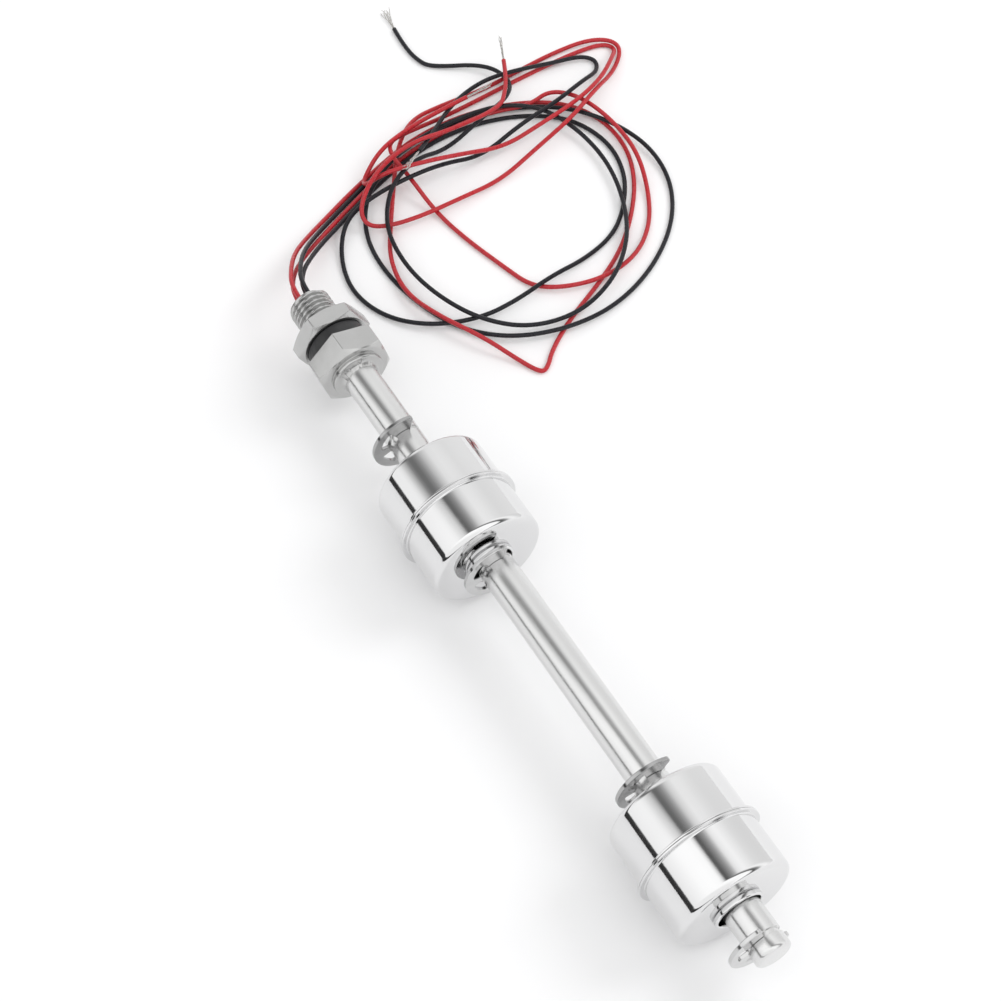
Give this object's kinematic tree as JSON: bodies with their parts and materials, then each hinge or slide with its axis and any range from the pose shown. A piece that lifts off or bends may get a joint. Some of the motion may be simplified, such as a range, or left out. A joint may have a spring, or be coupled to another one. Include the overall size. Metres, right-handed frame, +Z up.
{
  "type": "float level switch",
  "caption": "Stainless level switch: threaded hexagonal fitting and slim stem with floats sliding between retaining clips, loose lead wires.",
  "frame": {"origin": "on the surface the floats rest on, under the middle of the rigid body's bounding box; the loose wires aren't counted", "axes": "+X along the stem, from the thread to the closed tip; +Z up, away from the surface"},
  "size_m": [0.2709, 0.1277, 0.028],
  "materials": {
    "fitting_steel": "turned stainless steel, satin",
    "nut_steel": "turned stainless steel, satin",
    "stem_steel": "drawn stainless tube, semi-bright with lengthwise polishing",
    "clip_steel": "stamped spring steel, bright",
    "float_steel": "pressed stainless steel sheet, mirror polished",
    "gasket_rubber": "black rubber, smooth",
    "magnet_ferrite": "sintered ferrite, dark grey",
    "potting": "cast epoxy, black",
    "reed_glass": "clear drawn glass",
    "reed_alloy": "nickel-iron wire",
    "shrink_sleeve": "heat-shrink tube, black",
    "red_insulation": "PVC insulation, glossy",
    "black_insulation": "PVC insulation, glossy",
    "tinned_copper": "tinned copper strands"
  },
  "bodies": {
    "stem": {"threaded_hex_fitting": "fitting_steel", "lock_nut": "nut_steel", "sealing_gasket": "gasket_rubber", "stem_tube": "stem_steel", "stem_tip_plug": "stem_steel", "potting_plug": "potting", "upper_float_top_clip": "clip_steel", "upper_float_bottom_clip": "clip_steel", "upper_reed_glass": "reed_glass", "upper_reed_near_blade": "reed_alloy", "upper_reed_far_blade": "reed_alloy", "upper_reed_shrink_sleeve": "shrink_sleeve", "upper_reed_near_lead": "red_insulation", "upper_reed_far_lead": "black_insulation", "lower_float_top_clip": "clip_steel", "lower_float_bottom_clip": "clip_steel", "lower_reed_glass": "reed_glass", "lower_reed_near_blade": "reed_alloy", "lower_reed_far_blade": "reed_alloy", "lower_reed_shrink_sleeve": "shrink_sleeve", "lower_reed_near_lead": "red_insulation", "lower_reed_far_lead": "black_insulation", "red_1_wire": "red_insulation", "red_1_tinned_end": "tinned_copper", "black_1_wire": "black_insulation", "black_1_tinned_end": "tinned_copper", "red_2_wire": "red_insulation", "red_2_tinned_end": "tinned_copper", "black_2_wire": "black_insulation", "black_2_tinned_end": "tinned_copper"},
    "upper_float": {"upper_float_top_shell": "float_steel", "upper_float_bottom_shell": "float_steel", "upper_float_sleeve": "float_steel", "upper_float_magnet": "magnet_ferrite"},
    "lower_float": {"lower_float_top_shell": "float_steel", "lower_float_bottom_shell": "float_steel", "lower_float_sleeve": "float_steel", "lower_float_magnet": "magnet_ferrite"}
  },
  "joints": [
    {"name": "upper_float_slide", "type": "slide", "parent": "stem", "child": "upper_float", "axis": [1, 0, 0], "range_m": [-0.00945, 0.00045]},
    {"name": "lower_float_slide", "type": "slide", "parent": "stem", "child": "lower_float", "axis": [1, 0, 0], "range_m": [-0.00345, 0.00645]}
  ]
}
